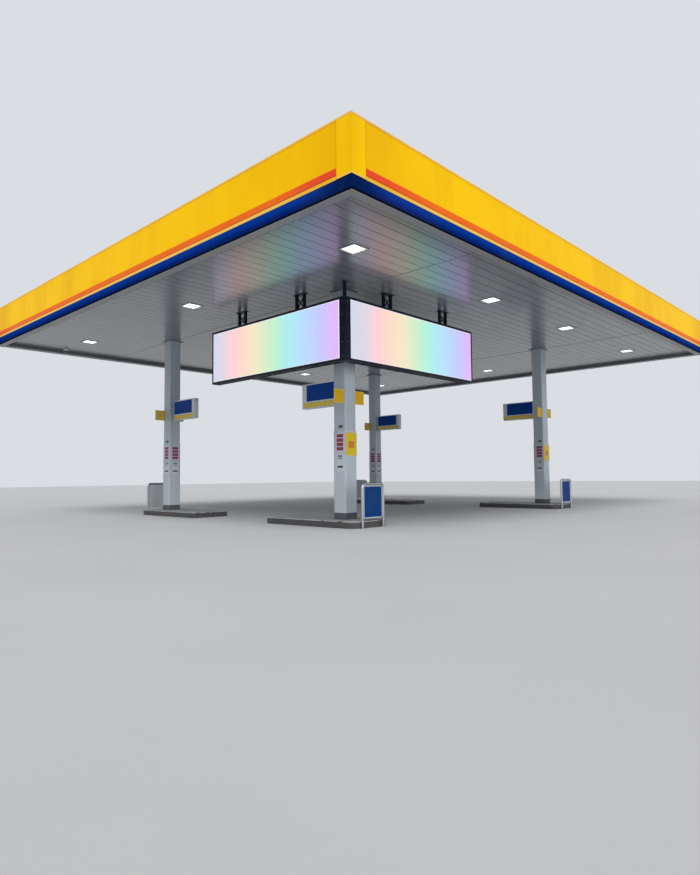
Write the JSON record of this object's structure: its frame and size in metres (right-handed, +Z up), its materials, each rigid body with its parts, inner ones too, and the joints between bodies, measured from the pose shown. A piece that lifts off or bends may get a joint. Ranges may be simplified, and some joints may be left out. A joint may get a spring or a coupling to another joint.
{
  "type": "filling station canopy",
  "caption": "Flat-roofed filling station canopy on clad columns and kerbed islands, with a lit striped fascia, panelled soffit lights and a two-sided hung display.",
  "frame": {"origin": "on the ground at the middle of the roof's outline", "axes": "+X along the roof's long side, +Y along its short side and along the islands, +Z up"},
  "size_m": [18.2, 15.4, 6.436],
  "materials": {
    "fascia_yellow": "translucent lit face",
    "stripe_orange": "gloss film",
    "valance_blue": "gloss",
    "trim_cream": "satin",
    "soffit_white": "semi-gloss",
    "column_white": "satin",
    "skirting_grey": "satin",
    "steel_dark": "satin",
    "steel_grey": "matt primer",
    "deck_grey": "satin",
    "concrete": "worn concrete",
    "edging_steel": "stained",
    "hoop_steel": "brushed",
    "board_blue": "gloss",
    "sign_white": "gloss",
    "plate_yellow": "gloss",
    "screen_lit": "lit matrix",
    "lamp_lens": "lit"
  },
  "bodies": {
    "root": {"island_a1": "concrete", "island_a2": "concrete", "island_b1": "concrete", "island_b2": "concrete", "island_edging": "edging_steel", "column_a1": "column_white", "column_a2": "column_white", "column_b1": "column_white", "column_b2": "column_white", "column_skirtings": "skirting_grey", "column_sleeves": "column_white", "column_collars": "skirting_grey", "flag_sign_a1": "sign_white", "flag_sign_a2": "sign_white", "flag_sign_b1": "sign_white", "flag_sign_b2": "sign_white", "number_plates": "plate_yellow", "guard_hoops": "hoop_steel", "guard_boards": "board_blue", "main_beams": "steel_grey", "purlins": "steel_grey", "roof_deck": "deck_grey", "fascia_west": "fascia_yellow", "fascia_south": "fascia_yellow", "fascia_east": "fascia_yellow", "fascia_north": "fascia_yellow", "fascia_corners": "fascia_yellow", "fascia_stripes": "stripe_orange", "fascia_cap": "trim_cream", "valance": "valance_blue", "edge_trim": "soffit_white", "soffit_bay_1": "soffit_white", "soffit_bay_2": "soffit_white", "soffit_bay_3": "soffit_white", "cover_strips": "soffit_white", "downlights": "soffit_white", "light_lenses": "lamp_lens", "display_screen_right": "screen_lit", "display_screen_left": "screen_lit", "display_frame_right": "steel_dark", "display_frame_left": "steel_dark", "display_corner_post": "steel_dark", "display_hangers": "steel_dark", "dome_camera": "sign_white"}
  },
  "joints": []
}
